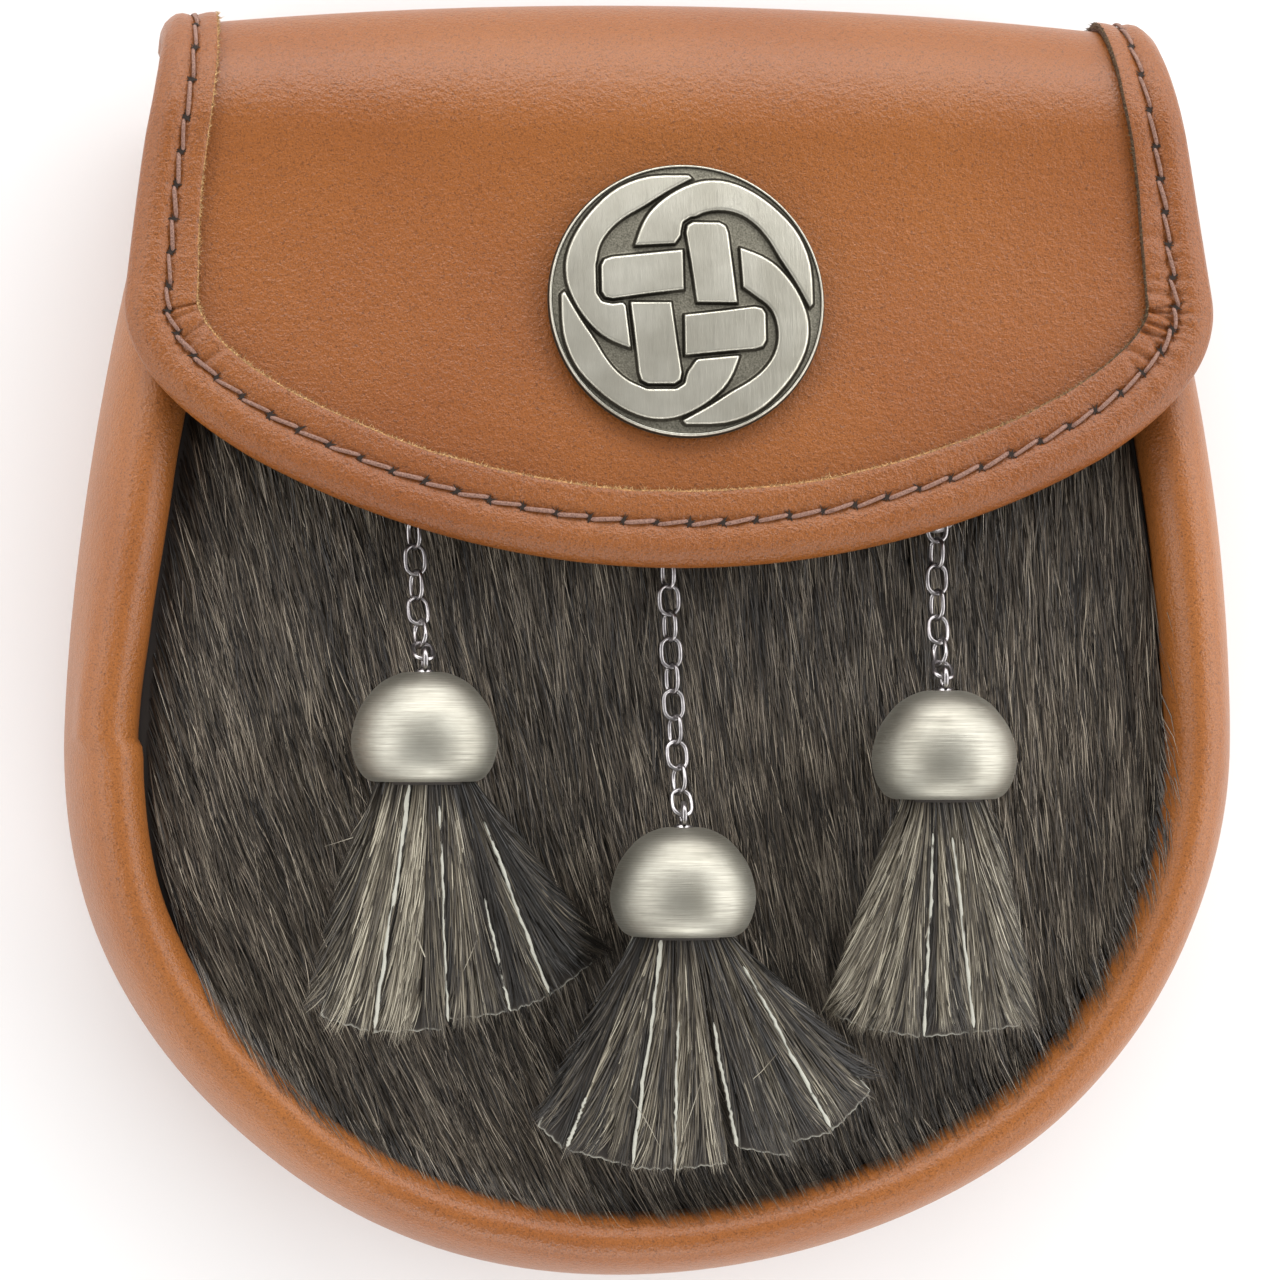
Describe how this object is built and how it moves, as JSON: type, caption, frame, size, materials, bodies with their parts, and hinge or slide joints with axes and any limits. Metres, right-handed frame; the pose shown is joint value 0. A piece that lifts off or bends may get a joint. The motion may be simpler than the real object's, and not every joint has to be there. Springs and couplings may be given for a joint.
{
  "type": "sporran pouch",
  "caption": "Semi-dress sporran: leather pouch with a rolled gusset and furred front, bound flap with a knotwork badge, and capped hide tassels on chains.",
  "frame": {"origin": "on the floor under the middle of the pouch's length and width, the pouch lying on its back", "axes": "+X to the right as the front is looked at, +Y towards the top of the pouch, +Z out of its front"},
  "size_m": [0.1636, 0.1771, 0.0512],
  "materials": {
    "tan_leather": "satin grained",
    "dark_fur": "hair on hide",
    "fringe_fur": "hair on hide",
    "pewter": "brushed",
    "steel": "polished"
  },
  "bodies": {
    "root": {"back_panel": "tan_leather", "gusset": "tan_leather", "fur_panel": "dark_fur", "flap": "tan_leather", "flap_binding": "tan_leather", "badge": "pewter", "press_stud": "steel", "chain_eye_left": "steel", "chain_eye_middle": "steel", "chain_eye_right": "steel", "chain_left": "steel", "chain_middle": "steel", "chain_right": "steel", "tassel_pin_left": "steel", "tassel_pin_middle": "steel", "tassel_pin_right": "steel", "bell_cap_left": "pewter", "bell_cap_middle": "pewter", "bell_cap_right": "pewter", "fringe_left": "fringe_fur", "fringe_middle": "fringe_fur", "fringe_right": "fringe_fur"}
  },
  "joints": []
}
